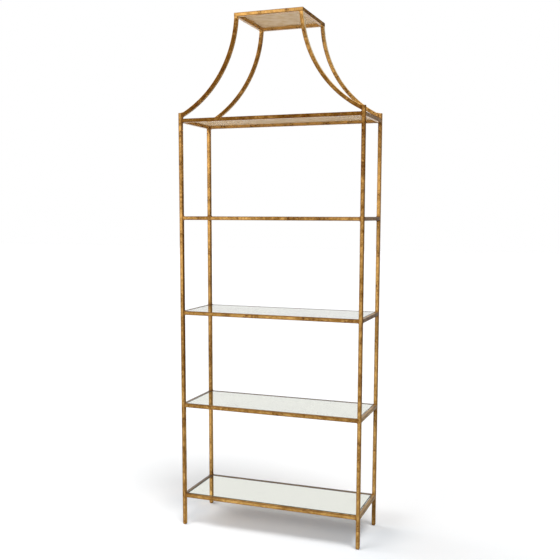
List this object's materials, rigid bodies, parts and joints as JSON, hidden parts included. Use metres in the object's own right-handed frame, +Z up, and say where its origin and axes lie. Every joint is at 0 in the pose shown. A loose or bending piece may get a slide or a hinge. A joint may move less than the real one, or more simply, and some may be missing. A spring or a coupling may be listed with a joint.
{
  "type": "etagere",
  "caption": "Tall open etagere of gilt square iron tube, with mirrored shelves between its legs and a pagoda crown of bent arches carrying a small square top.",
  "frame": {"origin": "centre of the footprint, on the floor", "axes": "+X to the right of a person facing the front, +Y towards the back, +Z up"},
  "size_m": [0.9144, 0.3334, 2.472],
  "materials": {
    "gilt_iron": "worn gold leaf over a dark ground",
    "mirror_glass": "silvered, painted light gold-brown underneath"
  },
  "bodies": {
    "frame": {"leg_front_left": "gilt_iron", "leg_front_right": "gilt_iron", "leg_rear_left": "gilt_iron", "leg_rear_right": "gilt_iron", "leg_cap_front_left": "gilt_iron", "leg_cap_front_right": "gilt_iron", "leg_cap_rear_left": "gilt_iron", "leg_cap_rear_right": "gilt_iron", "foot_front_left": "gilt_iron", "foot_front_right": "gilt_iron", "foot_rear_left": "gilt_iron", "foot_rear_right": "gilt_iron", "shelf_1_rail_front": "gilt_iron", "shelf_1_rail_rear": "gilt_iron", "shelf_1_rail_left": "gilt_iron", "shelf_1_rail_right": "gilt_iron", "shelf_2_rail_front": "gilt_iron", "shelf_2_rail_rear": "gilt_iron", "shelf_2_rail_left": "gilt_iron", "shelf_2_rail_right": "gilt_iron", "shelf_3_rail_front": "gilt_iron", "shelf_3_rail_rear": "gilt_iron", "shelf_3_rail_left": "gilt_iron", "shelf_3_rail_right": "gilt_iron", "shelf_4_rail_front": "gilt_iron", "shelf_4_rail_rear": "gilt_iron", "shelf_4_rail_left": "gilt_iron", "shelf_4_rail_right": "gilt_iron", "shelf_5_rail_front": "gilt_iron", "shelf_5_rail_rear": "gilt_iron", "shelf_5_rail_left": "gilt_iron", "shelf_5_rail_right": "gilt_iron", "crown_rail_front": "gilt_iron", "crown_rail_rear": "gilt_iron", "crown_rail_left": "gilt_iron", "crown_rail_right": "gilt_iron", "crown_arch_front_left": "gilt_iron", "crown_arch_front_right": "gilt_iron", "crown_arch_rear_left": "gilt_iron", "crown_arch_rear_right": "gilt_iron", "shelf_1_tabs": "gilt_iron", "shelf_2_tabs": "gilt_iron", "shelf_3_tabs": "gilt_iron", "shelf_4_tabs": "gilt_iron", "shelf_5_tabs": "gilt_iron", "crown_tabs": "gilt_iron"},
    "shelf_1_pane": {"shelf_1_mirror": "mirror_glass"},
    "shelf_2_pane": {"shelf_2_mirror": "mirror_glass"},
    "shelf_3_pane": {"shelf_3_mirror": "mirror_glass"},
    "shelf_4_pane": {"shelf_4_mirror": "mirror_glass"},
    "shelf_5_pane": {"shelf_5_mirror": "mirror_glass"},
    "crown_pane": {"crown_mirror": "mirror_glass"}
  },
  "joints": [
    {"name": "shelf_1_pane_lift", "type": "slide", "parent": "frame", "child": "shelf_1_pane", "axis": [0, 0, 1], "range_m": [0, 0.06]},
    {"name": "shelf_2_pane_lift", "type": "slide", "parent": "frame", "child": "shelf_2_pane", "axis": [0, 0, 1], "range_m": [0, 0.06]},
    {"name": "shelf_3_pane_lift", "type": "slide", "parent": "frame", "child": "shelf_3_pane", "axis": [0, 0, 1], "range_m": [0, 0.06]},
    {"name": "shelf_4_pane_lift", "type": "slide", "parent": "frame", "child": "shelf_4_pane", "axis": [0, 0, 1], "range_m": [0, 0.06]},
    {"name": "shelf_5_pane_lift", "type": "slide", "parent": "frame", "child": "shelf_5_pane", "axis": [0, 0, 1], "range_m": [0, 0.06]},
    {"name": "crown_pane_lift", "type": "slide", "parent": "frame", "child": "crown_pane", "axis": [0, 0, 1], "range_m": [0, 0.06]}
  ]
}
